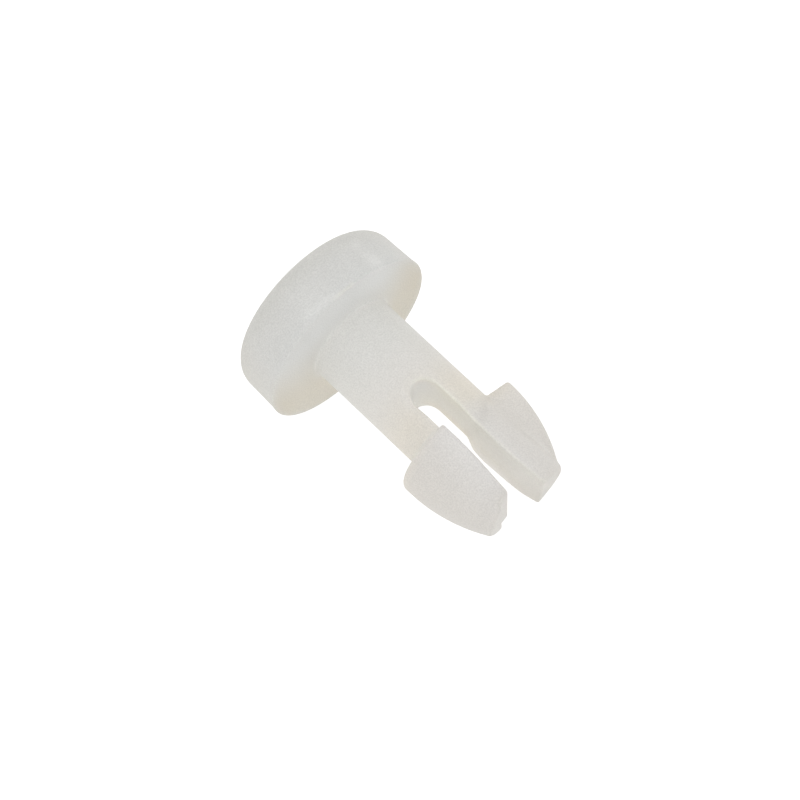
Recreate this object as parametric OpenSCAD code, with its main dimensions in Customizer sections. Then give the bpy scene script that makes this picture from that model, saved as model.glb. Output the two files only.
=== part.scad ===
// One-piece push-in wall anchor: round head, plain shank, split end with two barbed spring legs.
// Origin: centre of the head's seating face. +Y runs into the wall, +Z is the way the slot runs through.
// Right leg on -X, left leg on +X. Millimetres.

/* [Head] */
// diameter of the head at its seating face
head_base_d = 10.18; // [8:0.05:13]
// diameter of the head's wall just below the rounded top edge
head_top_d = 9.84; // [8:0.05:13]
// thickness of the head
head_h = 3.20; // [1.5:0.05:5]
// radius of the rounded top edge
head_edge_r = 0.85; // [0.2:0.05:1.4]
// how far the head's centre sits off the shank's centre
head_offset = 0.18; // [0:0.02:0.4]

/* [Shank] */
// diameter of the shank
shank_d = 4.80; // [3:0.05:8]
// radius of the fillet where the shank leaves the head
root_fillet = 0.20; // [0.05:0.05:0.5]

/* [Slot] */
// width of the slot between the legs
slot_w = 1.44; // [0.8:0.02:2.4]
// distance from the seating face to the round end of the slot, measured on the shank's axis
slot_root = 4.60; // [3:0.05:8]
// slope of the slot's round end from front to back
slot_slant = 7; // [0:1:15]

/* [Legs] */
// distance of each leg's flexing pivot from the seating face
pivot_y = 6.00; // [5:0.05:8]
// distance of each leg's flexing pivot from the shank's axis
pivot_x = 1.50; // [1:0.05:2]
// radius of the socket that each leg's root turns in
socket_r = 0.98; // [0.9:0.02:1.2]
// gap between a leg's root and its socket
socket_gap = 0.03; // [0.02:0.01:0.1]

/* [Barbs] */
// distance from the seating face to the shoulder at the shank's surface
shoulder_y = 7.30; // [6:0.05:10]
// slope of the shoulder, falling away from the head
shoulder_slope = 11; // [0:1:30]
// largest diameter over the barbs
barb_d = 7.32; // [5.5:0.05:10]
// radius of the arc that carries each barb down to its tip
ogive_r = 8.20; // [5:0.1:14]
// how far past the shank's mid-plane each barb reaches
barb_wrap = 0.46; // [0:0.02:1.5]
// chamfer on the outer corner of the shoulder
corner = 0.18; // [0.05:0.01:0.4]
// length from the seating face to the left tip's end face, beside the slot
left_tip_y = 11.88; // [10:0.05:16]
// length from the seating face to the right tip's end face, beside the slot
right_tip_y = 12.62; // [10:0.05:16]
// slope of the end faces from front to back, the front being longer
tip_slant = 10; // [0:0.5:20]
// slope of the left tip's end face, its outer corner being longer
left_tip_fall = 14; // [-20:0.5:20]
// slope of the right tip's end face, its outer corner being shorter
right_tip_fall = 3.5; // [-20:0.5:20]

/* [Hidden] */
$fn = 96;
shank_r = shank_d / 2;
slot_half = slot_w / 2;
barb_r = barb_d / 2;
base_r = head_base_d / 2;
top_r = head_top_d / 2;
slot_axis_y = slot_root + slot_half / cos(slot_slant);
bulge_y = shoulder_y + (barb_r - corner - shank_r) * tan(shoulder_slope) + corner;
knuckle_r = socket_r - socket_gap;
shank_end = 5.62;
nylon = [0.93, 0.92, 0.88];

// turns a profile drawn as (radius, distance along the shank) about the Y axis
module spun() {
    rotate([-90, 0, 0]) rotate_extrude() children();
}

module head_profile() {
    intersection() {
        union() {
            polygon([[0, -head_h], [top_r - head_edge_r, -head_h], [top_r - head_edge_r, 0], [0, 0]]);
            polygon([[0, -head_h + head_edge_r], [top_r, -head_h + head_edge_r],
                     [base_r, -0.12], [base_r - 0.12, 0], [0, 0]]);
            translate([top_r - head_edge_r, -head_h + head_edge_r]) circle(r = head_edge_r);
        }
        translate([0, -head_h - 1]) square([base_r + 1, head_h + 1]);
    }
}

// the fillet that carries the head into the shank
module root_profile() {
    difference() {
        polygon([[0, -0.5], [shank_r + root_fillet, -0.5], [shank_r + root_fillet, root_fillet],
                 [0, root_fillet]]);
        translate([shank_r + root_fillet, root_fillet]) circle(r = root_fillet);
    }
}

module head() {
    color(nylon) union() {
        translate([head_offset, 0, 0]) spun() head_profile();
        spun() root_profile();
    }
}

// the slot, open at the tips
module slot() {
    translate([0, slot_axis_y, 0]) rotate([-slot_slant, 0, 0]) {
        cylinder(r = slot_half, h = 12, center = true);
        translate([-slot_half, 0, -6]) cube([slot_w, 14, 12]);
    }
}

// space kept clear for the moving leg on the +X side
module leg_space() {
    translate([pivot_x, pivot_y, 0]) cylinder(r = socket_r, h = 8, center = true);
    translate([slot_half - 0.02, pivot_y - 0.5, -4]) cube([4, 2, 8]);
}

module shank() {
    color(nylon) difference() {
        translate([0, root_fillet, 0]) rotate([-90, 0, 0])
            cylinder(r = shank_r, h = shank_end - root_fillet);
        slot();
        for (side = [0, 180]) rotate([0, side, 0]) intersection() {
            leg_space();
            translate([slot_half - 0.02, 0, -4]) cube([4, 8, 8]);
        }
    }
}

// the half of the split end on the +X side, out to the shank's own surface
module leg_bar(from_y, to_y) {
    intersection() {
        translate([0, from_y, 0]) rotate([-90, 0, 0]) cylinder(r = shank_r, h = to_y - from_y);
        translate([slot_half + 0.005, from_y - 1, -4]) cube([4, to_y - from_y + 2, 8]);
    }
}

module leg() {
    intersection() {
        leg_bar(pivot_y - socket_r - 0.2, shoulder_y);
        union() {
            translate([pivot_x, pivot_y, 0]) cylinder(r = knuckle_r, h = 8, center = true);
            translate([0, pivot_y, -4]) cube([4, 4, 8]);
        }
    }
}

module barb_profile() {
    intersection() {
        translate([barb_r - ogive_r, bulge_y]) circle(r = ogive_r, $fn = 240);
        polygon([[0, shoulder_y], [shank_r, shoulder_y],
                 [barb_r - corner, bulge_y - corner], [barb_r + 0.1, bulge_y + 0.1],
                 [barb_r + 0.1, 15], [0, 15]]);
    }
}

// everything short of a sloping end face that passes through (x, y) on the mid-plane
module tip_cut(x, y, fall) {
    translate([x, y, 0]) rotate([-tip_slant, 0, fall])
        translate([-9, -12, -9]) cube([18, 12, 18]);
}

// the barb on the +X side, still running past its tip
module barb() {
    leg_bar(shoulder_y, right_tip_y + 2);
    intersection() {
        spun() barb_profile();
        translate([slot_half + 0.005, 0, -barb_wrap]) cube([5, 16, 6]);
    }
}

module left_leg() {
    color(nylon) leg();
}

module right_leg() {
    color(nylon) rotate([0, 180, 0]) leg();
}

module left_barb() {
    color(nylon) intersection() {
        barb();
        tip_cut(slot_half, left_tip_y, left_tip_fall);
    }
}

module right_barb() {
    color(nylon) intersection() {
        rotate([0, 180, 0]) barb();
        tip_cut(-slot_half, right_tip_y, right_tip_fall);
    }
}

head();
shank();
left_leg();
right_leg();
left_barb();
right_barb();
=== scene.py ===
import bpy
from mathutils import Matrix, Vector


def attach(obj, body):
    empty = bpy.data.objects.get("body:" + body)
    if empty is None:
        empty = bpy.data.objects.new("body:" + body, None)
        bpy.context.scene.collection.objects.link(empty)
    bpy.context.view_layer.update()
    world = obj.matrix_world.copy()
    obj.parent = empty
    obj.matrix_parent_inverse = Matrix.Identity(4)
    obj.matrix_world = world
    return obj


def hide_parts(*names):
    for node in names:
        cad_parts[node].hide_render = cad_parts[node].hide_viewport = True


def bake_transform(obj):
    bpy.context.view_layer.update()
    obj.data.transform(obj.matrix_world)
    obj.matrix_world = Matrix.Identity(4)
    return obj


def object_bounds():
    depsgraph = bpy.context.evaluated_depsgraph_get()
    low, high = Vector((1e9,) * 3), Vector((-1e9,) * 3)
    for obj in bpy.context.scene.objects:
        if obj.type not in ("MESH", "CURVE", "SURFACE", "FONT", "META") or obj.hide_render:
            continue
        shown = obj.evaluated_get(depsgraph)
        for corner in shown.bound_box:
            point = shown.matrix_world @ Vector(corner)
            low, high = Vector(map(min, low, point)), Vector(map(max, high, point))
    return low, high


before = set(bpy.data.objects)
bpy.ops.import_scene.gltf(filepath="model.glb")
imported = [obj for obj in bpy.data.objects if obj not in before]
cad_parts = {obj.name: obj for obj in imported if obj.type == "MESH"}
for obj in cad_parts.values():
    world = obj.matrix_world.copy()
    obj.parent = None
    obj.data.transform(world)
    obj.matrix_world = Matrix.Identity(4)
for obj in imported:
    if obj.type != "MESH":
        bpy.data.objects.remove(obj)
import math

import bpy
import numpy as np
from mathutils import Matrix, Vector

CAD_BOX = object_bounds()
MM = 0.001

# ---------------------------------------------------------------- shape
# All lengths below are in millimetres, in the frame's own axes.
# The left leg is on the +X side, the right leg on the -X side.
HEAD_X = 0.175  # how far the head's centre sits off the shank's axis
HEAD_BASE_R, HEAD_TOP_R, HEAD_H = 5.045, 4.94, 3.19
SHANK_R = 2.41
SLOT_HALF = 0.72  # half the slot's width
SLOT_END_Y = 5.57  # where the slot's parallel walls begin, on the shank's axis
LEFT_BARB_R, RIGHT_BARB_R = 3.59, 3.69
SHOULDER_Y = 7.37
LEFT_END_Y, RIGHT_END_Y = 11.69, 12.66  # the tips' end faces, carried on to the shank's axis
SPLIT_Y = 5.0  # past this the skin belongs to the legs
CELL = 0.085  # size of the net's cells
MARGIN = 0.15  # room left round the CAD's box for the net
# Painted shade of the far shoulder is placed along these slopes.
SLANT_ACROSS, SLANT_ALONG = 0.184, 0.357  # slopes of the photo camera's line of sight, for painted_shade_share


def either(a, b, r):
    """Union of two distance fields with a true fillet of radius r."""
    u, v = np.maximum(r - a, 0), np.maximum(r - b, 0)
    return np.maximum(r, np.minimum(a, b)) - np.sqrt(u * u + v * v)


def both(a, b, r):
    """Intersection of two distance fields with a true round of radius r."""
    u, v = np.maximum(a + r, 0), np.maximum(b + r, 0)
    return np.minimum(-r, np.maximum(a, b)) + np.sqrt(u * u + v * v)


def head_field(x, y, z):
    """The round head: a slightly tapered wall, a slightly domed outer face, and the seating face."""
    rho = np.hypot(x - HEAD_X, z)
    slope = (HEAD_BASE_R - HEAD_TOP_R) / HEAD_H
    lip = 0.035 * np.exp(-(y / 0.22) ** 2)
    wall = (rho - HEAD_BASE_R - lip - slope * np.minimum(y, 0)) / math.hypot(1, slope)
    crown = -y - HEAD_H + 0.0056 * rho * rho
    seat = y + 0.0060 * np.minimum(z, 0) ** 2
    body = both(wall, crown, 0.90)
    return both(body, seat, 0.12)


def flare_field(x, y, z):
    """The barbs: the left one wraps the near side of its leg, and the right one the far side."""
    side = np.where(x > 0, 1.0, -1.0)
    rho = np.hypot(x, z)
    widest, arc = np.where(x > 0, LEFT_BARB_R, RIGHT_BARB_R), np.where(x > 0, 9.0, 8.6)
    ogive = np.hypot(rho - (widest - arc), y - np.where(x > 0, 7.85, 7.6)) - arc
    lean = math.radians(9)
    seat = SHOULDER_Y - 0.12 + 0.014 * z * z + 0.05 * z - np.where(x < 0, 0.05, 0)
    shoulder = -((y - seat) * math.cos(lean) - (rho - SHANK_R) * math.sin(lean))
    flare = both(ogive, shoulder, 0.16)
    wrap = -(z * side + 0.46)
    return both(flare, wrap, 0.12)


def end_field(x, y, z):
    """The tips' end faces, with a small step on the left one."""
    fall = np.where(x > 0, 0.22, 0.06)
    slant = np.where(x > 0, 0.11, 0.18)
    chip = 0.17 * np.clip((x - 1.40) / 0.08, 0, 1)
    at = np.where(x > 0, LEFT_END_Y + chip, RIGHT_END_Y)
    return (y - at - fall * x - slant * z) / np.sqrt(1 + fall * fall + slant * slant)


def slot_field(x, y, z):
    """The slot, negative inside, its walls bowed as the legs are."""
    tilt = math.radians(7.2)
    v = (y - SLOT_END_Y) * math.cos(tilt) - z * math.sin(tilt)
    above = np.minimum(v, 0)
    bow_right = np.interp(y, (7.3, 8.3, 11.0, 12.2), (0.0, 0.10, 0.09, 0.0))
    bow_left = np.interp(y, (7.3, 8.7, 9.8, 11.3), (0.0, -0.02, -0.02, 0.03))
    bow = np.where(x < 0, bow_right, bow_left)
    return np.hypot(x + 0.03 - bow, above * 0.74) - SLOT_HALF


def anchor(x, y, z):
    """The whole moulding, negative inside."""
    shank = both(np.hypot(x, z) - SHANK_R, -y - 1.5, 0.2)
    solid = either(head_field(x, y, z), shank, 0.12)
    soften = 0.85 * np.interp(y, (7.4, 8.2, 9.5, 11.6), (0, 1, 0.8, 0))
    solid = either(solid, flare_field(x, y, z), 0.11 + soften)
    tip_round = 0.20 + 0.15 * np.interp(-x, (1.0, 2.0), (0, 1))
    solid = both(solid, end_field(x, y, z), tip_round)
    # the slot's near edge is rounder at its end, on the left
    worn = np.interp(x, (-0.3, 0.4), (0, 1)) * np.interp(y, (5.8, 6.6), (1, 0))
    worn = worn * np.interp(z, (0, 1), (0, 1))
    return both(solid, -slot_field(x, y, z), 0.09 + 0.22 * worn)


def gradient(field, p, e=0.004):
    """Slope of a distance field at each point, from differences over 2e."""
    g = np.empty_like(p)
    for i in range(3):
        d = np.zeros(3)
        d[i] = e
        a, b = p + d, p - d
        g[:, i] = field(a[:, 0], a[:, 1], a[:, 2]) - field(b[:, 0], b[:, 1], b[:, 2])
    return g / (2 * e)


def net(field, low, high, cell):
    """Surface net of a distance field: points on the surface and four-sided faces."""
    axes = [np.arange(low[i], high[i] + cell, cell) for i in range(3)]
    n = [len(a) for a in axes]
    f = np.empty(n, np.float32)
    step = 24
    for i in range(0, n[0], step):
        gx, gy, gz = np.meshgrid(axes[0][i:i + step], axes[1], axes[2], indexing="ij")
        f[i:i + step] = field(gx, gy, gz)
    inside = f < 0
    m = [k - 1 for k in n]
    total, count = np.zeros(m + [3]), np.zeros(m)
    for axis in range(3):
        lo = [slice(None)] * 3
        hi = [slice(None)] * 3
        lo[axis], hi[axis] = slice(0, -1), slice(1, None)
        a, b = f[tuple(lo)], f[tuple(hi)]
        crossed = inside[tuple(lo)] != inside[tuple(hi)]
        t = np.where(crossed, a / np.where(crossed, a - b, 1), 0)
        o1, o2 = [k for k in range(3) if k != axis]
        for d1 in (0, 1):
            for d2 in (0, 1):
                s = [slice(None)] * 3
                s[o1] = slice(d1, d1 + m[o1])
                s[o2] = slice(d2, d2 + m[o2])
                c = crossed[tuple(s)]
                count += c
                total[..., axis] += c * t[tuple(s)]
                total[..., o1] += c * d1
                total[..., o2] += c * d2
    cells = np.argwhere(count > 0)
    index = np.full(m, -1, np.int64)
    index[tuple(cells.T)] = np.arange(len(cells))
    local = total[tuple(cells.T)] / count[tuple(cells.T)][:, None]
    points = (cells + local) * cell + np.array([a[0] for a in axes])
    faces = []
    for axis in range(3):
        o1, o2 = [k for k in range(3) if k != axis]
        lo = [slice(None)] * 3
        hi = [slice(None)] * 3
        lo[axis], hi[axis] = slice(0, -1), slice(1, None)
        for s in (lo, hi):
            s[o1], s[o2] = slice(1, -1), slice(1, -1)
        a, b = inside[tuple(lo)], inside[tuple(hi)]
        at = np.argwhere(a != b)
        flip = a[tuple(at.T)]
        base = at.copy()
        quad = []
        for d1, d2 in ((0, 0), (1, 0), (1, 1), (0, 1)):
            q = base.copy()
            q[:, o1] += d1
            q[:, o2] += d2
            quad.append(index[tuple(q.T)])
        quad = np.stack(quad, 1)
        turn = flip if axis != 1 else ~flip
        quad[~turn] = quad[~turn][:, ::-1]
        faces.append(quad)
    faces = np.concatenate(faces)
    for _ in range(3):
        g = gradient(field, points)
        d = field(points[:, 0], points[:, 1], points[:, 2])
        points -= g * (d / np.maximum((g * g).sum(1), 0.2))[:, None]
    g = gradient(field, points, 0.012)
    normals = g / np.linalg.norm(g, axis=1)[:, None]
    return points, faces, normals


def piece(name, points, faces, normals, values):
    """A mesh object of the given faces, with its normals and the values its material reads."""
    used, back = np.unique(faces, return_inverse=True)
    me = bpy.data.meshes.new(name)
    me.from_pydata((points[used] * MM).tolist(), [], back.reshape(-1, 4).tolist())
    me.polygons.foreach_set("use_smooth", np.ones(len(me.polygons), bool))
    me.normals_split_custom_set_from_vertices(normals[used].tolist())
    for key, value in values.items():
        a = me.attributes.new(key, "FLOAT", "POINT")
        a.data.foreach_set("value", value[used].astype(np.float32))
    me.update()
    o = bpy.data.objects.new(name, me)
    bpy.context.scene.collection.objects.link(o)
    return o


def spread(value, faces, rounds):
    """Averages a value over neighbouring points, as light spreads inside nylon."""
    a = np.concatenate([faces[:, 0], faces[:, 1], faces[:, 2], faces[:, 3]])
    b = np.concatenate([faces[:, 1], faces[:, 2], faces[:, 3], faces[:, 0]])
    n = len(value)
    near = np.bincount(a, minlength=n) + np.bincount(b, minlength=n)
    for _ in range(rounds):
        total = np.bincount(a, value[b], n) + np.bincount(b, value[a], n)
        value = 0.5 * value + 0.5 * total / np.maximum(near, 1)
    return value


def spiral(count):
    """Directions spread evenly over a ball."""
    k = np.arange(count)
    h = 1 - 2 * (k + 0.5) / count
    r, turn = np.sqrt(1 - h * h), k * math.pi * (3 - math.sqrt(5))
    return np.stack((r * np.cos(turn), h, r * np.sin(turn)), 1)


def solid_share(points, radius, count):
    """Share of a ball's surface round each point that is in nylon: less on an edge, more in a corner."""
    share = np.zeros(len(points))
    for d in spiral(count):
        p = points + radius * d
        share += anchor(p[:, 0], p[:, 1], p[:, 2]) < 0
    return share / count


def through(points, normals):
    """Thickness of nylon through each point, front to back, in millimetres."""
    start = points - normals * 0.06
    total = np.zeros(len(points))
    for way in (-1, 1):
        alive = np.ones(len(points), bool)
        for k in range(1, 31):
            z = start[:, 2] + way * 0.2 * k
            alive &= anchor(start[:, 0], start[:, 1], z) < 0
            total += alive * 0.2
    return total


def openness(points, normals):
    """Share of the light from all round that reaches each point past the rest of the part."""
    seen, full = np.zeros(len(points)), np.zeros(len(points))
    for d in spiral(36):  # directions tried from each point
        weight = normals @ d
        front = np.flatnonzero(weight > 0)
        clear = np.ones(len(front), bool)
        start = points[front] + normals[front] * 0.05
        for reach in (0.2, 0.45, 0.8, 1.3, 2.0, 3.0, 4.2, 5.6):
            p = start + d * reach
            clear &= anchor(p[:, 0], p[:, 1], p[:, 2]) > 0
        seen[front] += weight[front] * clear
        full[front] += weight[front]
    return seen / full


def seat_shade_share(points, normals):
    """1 on the head's seating face, most on the side away from the slot's front, 0 elsewhere: where a warm,
    darker painted shade goes.
    """
    on = (normals[:, 1] > 0.8) & (points[:, 1] < 0.3) & (points[:, 1] > -0.3)
    rim = np.interp(points[:, 0], (-4.0, -2.6, 2.6, 4.4), (0.28, 0, 0, 0.12))
    away = np.clip((3.6 - points[:, 2]) / 5.6 + rim, 0, 1)
    return on * away * away * (3 - 2 * away)


def crease_highlight_share(points, normals):
    """1 on the slot's near edge, along the right leg and round its end, and less on the wall beside it: a
    painted highlight on the edge and painted light on the wall.
    """
    x, y, z = points.T
    sharp = np.clip((0.47 - solid_share(points, 0.16, 40)) / 0.14, 0, 1)
    sharp *= np.interp(y, (3.5, 4.6, 8.0, 9.0, 11.0, 12.4), (0.5, 1.0, 1.0, 0.5, 0.4, 0.4))
    wall = (np.abs(x) < 0.85) & (normals[:, 0] > 0.3) & (np.abs(normals[:, 2]) < 0.6)
    facing = np.interp(z, (-0.6, 2.2), (0.0, 0.85)) * np.interp(y, (5.0, 6.0, 12.0), (0.0, 1.0, 0.7))
    on = (np.abs(x) < 1.05) * (z > -0.6) * np.clip((0.4 - x) / 0.6, 0, 1)
    return on * np.maximum(sharp * (z > 0.5), wall * facing)


def deep_shade_share(points, normals):
    """1 deep on the slot's walls, falling to 0 toward the front: painted shade in the slot."""
    x, y, z = points.T
    on = (np.abs(x) < 0.85) & (y > 4.2) & (np.abs(normals[:, 2]) < 0.6)
    depth = np.interp(z, (-3.6, -2.4, -1.6, 1.5), (0.5, 0.9, 1.0, 0.0))
    return on * depth * np.interp(x, (-0.4, 0.2), (1, 0.2))


# Painted reflections: pale streak, rim line and wide patch on the head's wall.
def painted_reflection_share(points):
    """Paler paint where the photo shows soft reflections on the head: a streak, the rim, and a wide patch."""
    x, y, z = points.T
    turn = np.degrees(np.arctan2(HEAD_X - x, z))
    wall = (np.hypot(x - HEAD_X, z) > 4.6) & (y < 0.1)
    streak = np.exp(-((turn - 35.5) / 3.4) ** 2 / 2)
    streak *= np.interp(y, (-2.2, -1.8, -1.35, -1.0, -0.3, -0.05), (0, 0.6, 0.25, 0.6, 1, 0.4))
    rim = np.exp(-((y + 0.2 - 0.015 * (turn + 1)) / 0.13) ** 2 / 2)
    rim *= np.interp(turn, (-22, -15, 0, 5), (0, 1, 1, 0))
    wide = np.exp(-((turn + 6) / 9) ** 2 / 2)
    wide *= np.interp(y, (-2.2, -1.6, -0.3, 0), (0, 0.7, 1, 0))
    return wall * (0.65 * streak + 0.35 * rim + 0.22 * wide)


def painted_light_share(points, normals):
    """How far the tone is painted lighter, as painted light standing in for light scattered in the nylon:
    corners, slot's end, left leg and neck; and painted reflections on the head.
    """
    x, y, z = points.T
    corner = np.clip((solid_share(points, 0.35, 60) - 0.53) / 0.17, 0, 1)
    corner = corner * np.interp(y, (5.5, 6.5), (0, 1))
    root = (np.abs(x) < 0.85) * (np.abs(normals[:, 2]) < 0.6) * (z > -2.6)
    root = root * np.interp(x, (-0.5, 0.1), (0, 1))
    root = root * np.interp(y, (4.2, 4.4, 5.6, 6.3), (0, 1, 1, 0))
    beside = np.interp(x, (0.7, 1.2, 2.6), (0.6, 1, 0))
    beside = beside * np.interp(y, (7.6, 8.6, 11.2, 11.8), (0, 0.8, 1, 0))
    beside = beside * (normals[:, 2] > 0.3) * (x > 0.6)
    gap = np.hypot(np.maximum(np.hypot(x, z) - SHANK_R, 0), np.maximum(y, 0))
    neck = np.exp(-(gap / 0.8) ** 2) * (y > -0.3) * np.interp(z, (-1.5, 0.5), (0, 1))
    inner = np.maximum(np.maximum(corner, 0.9 * root), 0.28 * beside)
    return inner + 0.5 * neck + painted_reflection_share(points)


def painted_shade_share(points, normals):
    """How far painted shade lowers the tone: at the tips' ends, round the left barb, on the slot's far wall,
    and over the far shoulder.
    """
    x, y, z = points.T
    nx, ny, nz = normals.T
    ends = np.clip((ny - 0.35) / 0.3, 0, 1) * (y > 10.5)
    away = np.clip(nx, 0, 1) ** 2 * np.interp(y, (7.2, 7.8), (0, 1)) * (x > 0.85)
    wall = (np.abs(x) < 0.85) & (nx > 0.5)
    far_wall = 0.15 * np.interp(z, (-2.3, -0.5), (1, 0)) + 0.4 * np.interp(y, (10.8, 12.2), (0, 1))
    far_wall = wall * far_wall
    # Painted shade: a dark band over the far shoulder, seen through the right leg.
    # the far shoulder as the photo shows it through the right leg: depth is how much nylon lies between
    back_x = x - SLANT_ACROSS * 2 * np.maximum(z, 0)
    back = -np.sqrt(np.maximum(SHANK_R ** 2 - back_x ** 2, 0))
    depth = np.where(wall, z + 2.3, z - back)
    far_shoulder_shade = np.exp(-((y - SLANT_ALONG * depth - 7.15) / 0.28) ** 2)
    far_shoulder_shade = far_shoulder_shade * (x < -0.5) * (wall | (nz > 0.15)) * (y > 7.1)
    far_shoulder_shade = np.where(wall, 0.35, 0.60) * far_shoulder_shade
    return np.clip(0.5 * ends + 0.40 * away + far_wall + far_shoulder_shade, 0, 1)


low = np.array(CAD_BOX[0]) / MM - MARGIN
high = np.array(CAD_BOX[1]) / MM + MARGIN
points, faces, normals = net(anchor, low, high, CELL)
values = {
    "painted_light": spread(painted_light_share(points, normals), faces, 3),
    "painted_shade": spread(painted_shade_share(points, normals), faces, 3),
    "along": points[:, 1],
    "through": spread(through(points, normals), faces, 10),
    "seat": spread(seat_shade_share(points, normals), faces, 30),
    "edge": spread(crease_highlight_share(points, normals), faces, 1),
    "shade": 1 - spread(openness(points, normals), faces, 120),
    "deep": spread(deep_shade_share(points, normals), faces, 4),
}
middle = points[faces].mean(1)
legs = middle[:, 1] > SPLIT_Y
left, right = legs & (middle[:, 0] > 0), legs & (middle[:, 0] <= 0)

# ---------------------------------------------------------------- material
# The tints below follow the values above. They imitate light scattered in the nylon, the shadows and the
# pale reflections that the photo shows, and were fitted to it by comparing tones.
BODY = ((0.0, (0.814, 0.809, 0.781)), (0.10, (0.848, 0.847, 0.840)),
        (0.20, (0.861, 0.865, 0.861)), (0.33, (0.890, 0.896, 0.894)),
        (0.46, (0.917, 0.909, 0.900)), (0.58, (0.956, 0.925, 0.876)),
        (0.65, (0.952, 0.925, 0.876)), (0.71, (0.903, 0.890, 0.883)),
        (1.0, (0.886, 0.876, 0.874)))  # from the outer face of the head to the tips
MASS = ((0.0, (0.992, 0.980, 0.952)), (0.55, (0.990, 0.982, 0.967)), (1.0, (0.996, 1.0, 1.0)))
CLOUD = ((0.3, (0.975, 0.975, 0.972)), (0.7, (1, 1, 1)))
FLECK = ((0.27, (0.865, 0.865, 0.865)), (0.73, (1.0, 1.0, 1.0)))
# Colours for painted light and for the painted highlight on the slot's near edge.
PAINTED_FILL_LIGHT, PAINTED_HIGHLIGHT = (1.0, 1.0, 0.99), (1.0, 0.988, 0.92)
# Colours for painted shade: warm on the head's seating face, deep in the slot, and elsewhere.
SEAT_SHADE, DEEP_SHADE, PAINTED_SHADE = (0.927, 0.873, 0.778), (0.982, 0.969, 0.928), (0.900, 0.895, 0.885)


def node(tree, kind, **values):
    """A new node, each value set on its input of that name, or on the node itself."""
    made = tree.nodes.new(kind)
    for key, value in values.items():
        if key in made.inputs:
            made.inputs[key].default_value = value
        else:
            setattr(made, key, value)
    return made


def stored(tree, name):
    """A value stored on each point of the mesh."""
    return node(tree, "ShaderNodeAttribute", attribute_name=name).outputs["Fac"]


def ranged(tree, value, low, high):
    """value, from low to high, as 0 to 1."""
    made = node(tree, "ShaderNodeMapRange")
    made.inputs["From Min"].default_value = low
    made.inputs["From Max"].default_value = high
    tree.links.new(value, made.inputs["Value"])
    return made.outputs["Result"]


def noise(tree, coords, **values):
    """Noise fixed to the piece."""
    made = node(tree, "ShaderNodeTexNoise", **values)
    tree.links.new(coords.outputs["Object"], made.inputs["Vector"])
    return made.outputs["Fac"]


def colours(tree, value, stops):
    """The colour that the stops give for value."""
    made = node(tree, "ShaderNodeValToRGB")
    ramp = made.color_ramp
    for k, (at, colour) in enumerate(stops):
        e = ramp.elements[k] if k < 2 else ramp.elements.new(at)
        e.position = at
        e.color = (*colour, 1)
    tree.links.new(value, made.inputs["Fac"])
    return made.outputs["Color"]


def product(tree, a, b):
    """Two colours multiplied."""
    made = node(tree, "ShaderNodeMix", data_type="RGBA", blend_type="MULTIPLY")
    made.inputs["Factor"].default_value = 1.0
    tree.links.new(a, made.inputs[6])
    tree.links.new(b, made.inputs[7])
    return made.outputs[2]


def tinted(tree, base, share, colour, kind="MULTIPLY"):
    """base, multiplied by a colour or mixed with it, as far as share says."""
    made = node(tree, "ShaderNodeMix", data_type="RGBA", blend_type=kind)
    made.inputs[7].default_value = (*colour, 1)
    tree.links.new(share, made.inputs["Factor"])
    tree.links.new(base, made.inputs[6])
    return made.outputs[2]


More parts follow.
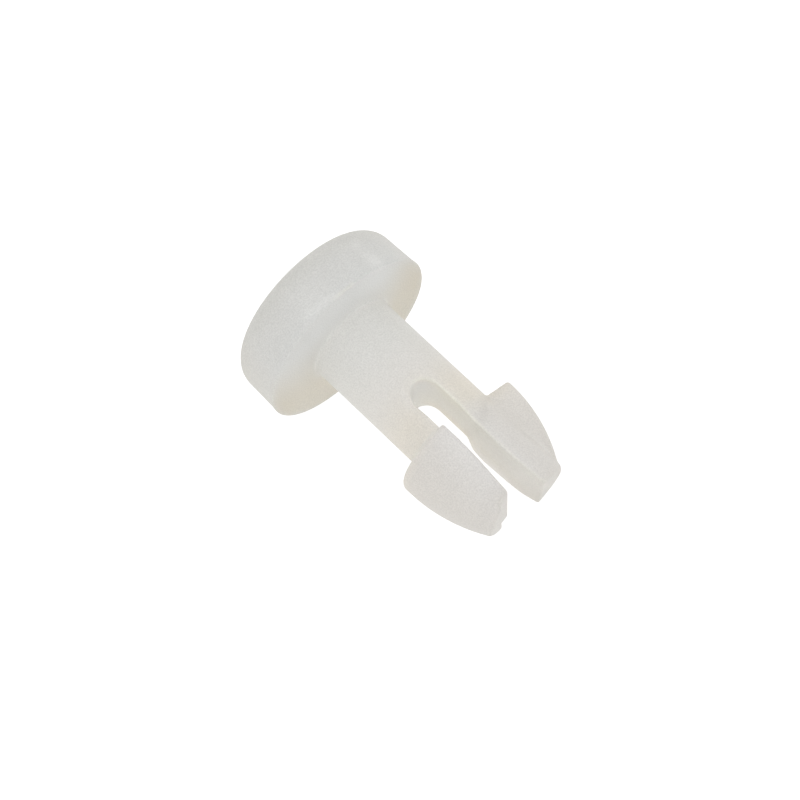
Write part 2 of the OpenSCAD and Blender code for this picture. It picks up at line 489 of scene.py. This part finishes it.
def nylon():
    """Milky nylon: half plain surface, half light that comes through."""
    mat = bpy.data.materials.new("milky_nylon")
    mat.use_nodes = True
    t = mat.node_tree
    t.nodes.clear()
    coords = node(t, "ShaderNodeTexCoord")
    place = ranged(t, stored(t, "along"), -3.2, 12.8)
    mass = ranged(t, stored(t, "through"), 1.5, 7.0)
    colour = product(t, colours(t, place, BODY), colours(t, mass, MASS))
    # Painted light: places in shade, and places marked for painted light, are mixed toward near white.
    shaded = node(t, "ShaderNodeMath", operation="MULTIPLY")
    shaded.inputs[1].default_value = 1.2
    t.links.new(stored(t, "shade"), shaded.inputs[0])
    painted_light_amount = node(t, "ShaderNodeMath", operation="MAXIMUM")
    t.links.new(shaded.outputs["Value"], painted_light_amount.inputs[0])
    t.links.new(stored(t, "painted_light"), painted_light_amount.inputs[1])
    colour = tinted(t, colour, painted_light_amount.outputs["Value"], PAINTED_FILL_LIGHT, "MIX")
    # Painted highlight on the slot's near edge, and painted light on the wall beside it.
    colour = tinted(t, colour, stored(t, "edge"), PAINTED_HIGHLIGHT, "MIX")
    # Painted shade, warm and darker, on the head's seating face.
    colour = tinted(t, colour, stored(t, "seat"), SEAT_SHADE)
    # Painted shade deep in the slot's walls.
    colour = tinted(t, colour, stored(t, "deep"), DEEP_SHADE)
    # Painted shade at the tips' ends, round the left barb, on the slot's far wall and over the far shoulder.
    colour = tinted(t, colour, stored(t, "painted_shade"), PAINTED_SHADE)
    cloud = noise(t, coords, Scale=420.0, Detail=3.0, Roughness=0.55)
    colour = product(t, colour, colours(t, cloud, CLOUD))
    fleck = noise(t, coords, Scale=13000.0, Detail=1.0, Roughness=0.5)
    colour = product(t, colour, colours(t, fleck, FLECK))
    grain = noise(t, coords, Scale=5200.0, Detail=2.0, Roughness=0.6)
    bump = node(t, "ShaderNodeBump", Strength=0.25, Distance=0.00002)
    t.links.new(grain, bump.inputs["Height"])
    bsdf = node(t, "ShaderNodeBsdfPrincipled")
    bsdf.inputs["Roughness"].default_value = 0.42
    bsdf.inputs["IOR"].default_value = 1.53
    glow = node(t, "ShaderNodeBsdfTranslucent")
    t.links.new(colour, bsdf.inputs["Base Color"])
    t.links.new(colour, glow.inputs["Color"])
    for shader in (bsdf, glow):
        t.links.new(bump.outputs["Normal"], shader.inputs["Normal"])
    milk = node(t, "ShaderNodeMixShader")
    milk.inputs["Fac"].default_value = 0.5
    t.links.new(bsdf.outputs["BSDF"], milk.inputs[1])
    t.links.new(glow.outputs["BSDF"], milk.inputs[2])
    out = node(t, "ShaderNodeOutputMaterial")
    t.links.new(milk.outputs["Shader"], out.inputs["Surface"])
    return mat


mat = nylon()
head = piece("head_and_shank", points, faces[~legs], normals, values)
left_leg = piece("left_leg_and_barb", points, faces[left], normals, values)
right_leg = piece("right_leg_and_barb", points, faces[right], normals, values)
for o in (head, left_leg, right_leg):
    o.data.materials.append(mat)
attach(head, "anchor")
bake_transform(left_leg)
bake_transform(right_leg)
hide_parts("head", "shank")
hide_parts("left_leg", "left_barb")
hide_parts("right_leg", "right_barb")

# ---------------------------------------------------------------- floor and light
# The part lies on the edge of its head, and the floor is tilted to suit.
FLOOR_TILT = math.radians(10.7)
FLOOR_HALF = 3.0  # metres
REST = Vector((0, 0, -HEAD_BASE_R * MM))
floor_mesh = bpy.data.meshes.new("floor")
corners = [(-FLOOR_HALF, -FLOOR_HALF, 0), (FLOOR_HALF, -FLOOR_HALF, 0),
           (FLOOR_HALF, FLOOR_HALF, 0), (-FLOOR_HALF, FLOOR_HALF, 0)]
floor_mesh.from_pydata(corners, [], [(0, 1, 2, 3)])
floor = bpy.data.objects.new("floor", floor_mesh)
bpy.context.scene.collection.objects.link(floor)
floor.matrix_world = Matrix.Translation(REST) @ Matrix.Rotation(FLOOR_TILT, 4, "X")
pale = bpy.data.materials.new("pale_floor")
pale.use_nodes = True
pale_bsdf = pale.node_tree.nodes["Principled BSDF"]
pale_bsdf.inputs["Base Color"].default_value = (0.45, 0.45, 0.45, 1)
pale_bsdf.inputs["Roughness"].default_value = 0.9
pale_bsdf.inputs["Emission Color"].default_value = (1, 1, 1, 1)
pale_bsdf.inputs["Emission Strength"].default_value = 0.75
floor_mesh.materials.append(pale)

world = bpy.data.worlds.new("studio")
bpy.context.scene.world = world
world.use_nodes = True
world.node_tree.nodes["Background"].inputs["Color"].default_value = (1, 1, 1, 1)
world.node_tree.nodes["Background"].inputs["Strength"].default_value = 0.873


def softbox(name, place, target, size, power, tint):
    """A round area light at place, turned to target."""
    data = bpy.data.lights.new(name, "AREA")
    data.shape, data.size, data.energy, data.color = "DISK", size, power, tint
    o = bpy.data.objects.new(name, data)
    bpy.context.scene.collection.objects.link(o)
    o.location = place
    o.rotation_mode = "QUATERNION"
    o.rotation_quaternion = (Vector(target) - Vector(place)).to_track_quat("-Z", "Y")
    return o


# ---------------------------------------------------------------- camera
scene = bpy.context.scene
scene.view_settings.view_transform = "Standard"
scene.view_settings.look = "None"
# How far the part's length leans from the picture's plane, its turn about that length, the picture's roll.
theta, psi, roll = math.radians(19.36), math.radians(10.44), math.radians(43.33)
DISTANCE = 128.66492 * MM  # from the camera to the point it looks at
VIEW_WIDTH = 39.32 * MM  # how much the picture's width takes in at that distance
SENSOR = 36
AIM_ACROSS, AIM_ALONG = -0.618307 * MM, 3.90251 * MM  # that point, from the origin


def to_view(a, b, c):
    """A direction in the frame, from its parts across the part, along it and towards the viewer."""
    t3 = Vector((math.cos(psi), math.sin(psi) * math.sin(theta), -math.sin(psi) * math.cos(theta)))
    d3 = Vector((0, math.cos(theta), math.sin(theta)))
    n3 = Vector((math.sin(psi), -math.cos(psi) * math.sin(theta), math.cos(psi) * math.cos(theta)))
    v = Vector((a, b, c))
    return Vector((-v.dot(t3), v.dot(d3), v.dot(n3)))


p_dir, a_dir, v_dir = to_view(1, 0, 0), to_view(0, 1, 0), to_view(0, 0, 1)
right_dir = a_dir * math.cos(roll) + p_dir * math.sin(roll)
up_dir = p_dir * math.cos(roll) - a_dir * math.sin(roll)
target = p_dir * AIM_ACROSS + a_dir * AIM_ALONG + v_dir * (AIM_ALONG * math.tan(theta))
cam_data = bpy.data.cameras.new("camera")
cam = bpy.data.objects.new("camera", cam_data)
scene.collection.objects.link(cam)
cam_data.sensor_width = SENSOR
cam_data.lens = SENSOR * DISTANCE / VIEW_WIDTH
cam_data.clip_start, cam_data.clip_end = 0.001, 10
turned = Matrix((right_dir, up_dir, v_dir)).transposed().to_4x4()
cam.matrix_world = Matrix.Translation(target + v_dir * DISTANCE) @ turned
scene.camera = cam

centre = Vector((0, 0.004, 0))
overhead = centre + (a_dir * -0.02 + v_dir * 0.12)
softbox("overhead", overhead, centre, 0.06, 0.018, (0.97, 0.985, 1))
# Two small lights that only show as soft reflections.
window = p_dir * -0.02 + a_dir * -0.0775 + v_dir * 0.0955
side = p_dir * 0.102 + a_dir * -0.0586 + v_dir * 0.042
for name, place, size, power in (("window", window, 0.04, 0.012), ("side", side, 0.02, 0.008)):
    shine = softbox(name, centre + place, centre, size, power, (0.86, 0.93, 1))
    shine.visible_diffuse = False
    shine.visible_transmission = False
